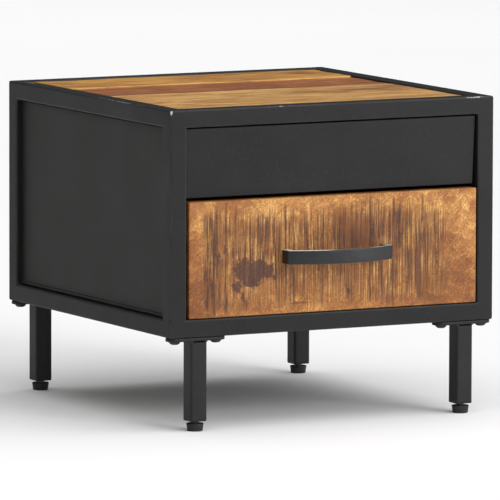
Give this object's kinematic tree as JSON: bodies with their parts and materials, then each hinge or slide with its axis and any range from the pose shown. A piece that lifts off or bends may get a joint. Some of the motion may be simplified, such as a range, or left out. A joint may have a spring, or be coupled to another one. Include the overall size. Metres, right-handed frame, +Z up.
{
  "type": "side table with drawer",
  "caption": "Square side table: a black welded steel box frame with a board top and one rough wood drawer on ball-bearing slides, on four short bolted legs with levelling feet.",
  "frame": {"origin": "on the floor, under the middle of the whole table's box, handle included", "axes": "+Z up, the drawer front faces -Y, +X to the right of someone facing the drawer"},
  "size_m": [0.4, 0.43, 0.351],
  "materials": {
    "black_steel": "satin black powder coat, worn to a lighter grey on the edges",
    "zinc_steel": "bright zinc plate",
    "top_wood": "planed golden boards with brown heartwood streaks, matt oil",
    "front_wood": "rough-sawn, scorched and brushed, with a sanded border, matt lacquer",
    "plain_wood": "plain planed softwood and thin board, unfinished",
    "black_plastic": "moulded black nylon"
  },
  "bodies": {
    "cabinet": {"bottom_rail_front": "black_steel", "bottom_rail_rear": "black_steel", "bottom_rail_left": "black_steel", "bottom_rail_right": "black_steel", "top_rail_front": "black_steel", "top_rail_rear": "black_steel", "top_rail_left": "black_steel", "top_rail_right": "black_steel", "post_front_left": "black_steel", "post_front_right": "black_steel", "post_rear_left": "black_steel", "post_rear_right": "black_steel", "side_panel_left": "black_steel", "side_panel_right": "black_steel", "back_panel": "black_steel", "bottom_panel": "black_steel", "fascia": "black_steel", "cross_bar_left": "black_steel", "cross_bar_right": "black_steel", "runner_bar_left": "black_steel", "runner_bar_right": "black_steel", "top_board_1": "top_wood", "top_board_2": "top_wood", "top_board_3": "top_wood", "top_board_4": "top_wood", "cabinet_runner_left": "zinc_steel", "cabinet_runner_right": "zinc_steel", "leg_front_left": "black_steel", "leg_bolt_front_left_1": "black_steel", "leg_bolt_front_left_2": "black_steel", "leg_front_right": "black_steel", "leg_bolt_front_right_1": "black_steel", "leg_bolt_front_right_2": "black_steel", "leg_rear_left": "black_steel", "leg_bolt_rear_left_1": "black_steel", "leg_bolt_rear_left_2": "black_steel", "leg_rear_right": "black_steel", "leg_bolt_rear_right_1": "black_steel", "leg_bolt_rear_right_2": "black_steel"},
    "drawer": {"drawer_front": "front_wood", "drawer_side_left": "plain_wood", "drawer_side_right": "plain_wood", "drawer_back": "plain_wood", "drawer_floor": "plain_wood", "handle": "black_steel", "handle_screw_left": "zinc_steel", "handle_screw_right": "zinc_steel", "drawer_runner_left": "zinc_steel", "drawer_runner_right": "zinc_steel"},
    "cage_left": {"ball_cage_left": "zinc_steel"},
    "cage_right": {"ball_cage_right": "zinc_steel"},
    "foot_front_left": {"foot_pad_front_left": "black_plastic", "foot_stud_front_left": "zinc_steel"},
    "foot_front_right": {"foot_pad_front_right": "black_plastic", "foot_stud_front_right": "zinc_steel"},
    "foot_rear_left": {"foot_pad_rear_left": "black_plastic", "foot_stud_rear_left": "zinc_steel"},
    "foot_rear_right": {"foot_pad_rear_right": "black_plastic", "foot_stud_rear_right": "zinc_steel"}
  },
  "joints": [
    {"name": "drawer_slide", "type": "slide", "parent": "cabinet", "child": "drawer", "axis": [0, -1, 0], "range_m": [0, 0.22]},
    {"name": "cage_left_slide", "type": "slide", "parent": "cabinet", "child": "cage_left", "axis": [0, -1, 0], "range_m": [0, 0.11]},
    {"name": "cage_right_slide", "type": "slide", "parent": "cabinet", "child": "cage_right", "axis": [0, -1, 0], "range_m": [0, 0.11]},
    {"name": "foot_front_left_adjust", "type": "slide", "parent": "cabinet", "child": "foot_front_left", "axis": [0, 0, -1], "range_m": [0, 0.01]},
    {"name": "foot_front_right_adjust", "type": "slide", "parent": "cabinet", "child": "foot_front_right", "axis": [0, 0, -1], "range_m": [0, 0.01]},
    {"name": "foot_rear_left_adjust", "type": "slide", "parent": "cabinet", "child": "foot_rear_left", "axis": [0, 0, -1], "range_m": [0, 0.01]},
    {"name": "foot_rear_right_adjust", "type": "slide", "parent": "cabinet", "child": "foot_rear_right", "axis": [0, 0, -1], "range_m": [0, 0.01]}
  ],
  "couplings": [
    {"joint": "cage_left_slide", "follows": "drawer_slide", "ratio": 0.5},
    {"joint": "cage_right_slide", "follows": "drawer_slide", "ratio": 0.5}
  ]
}
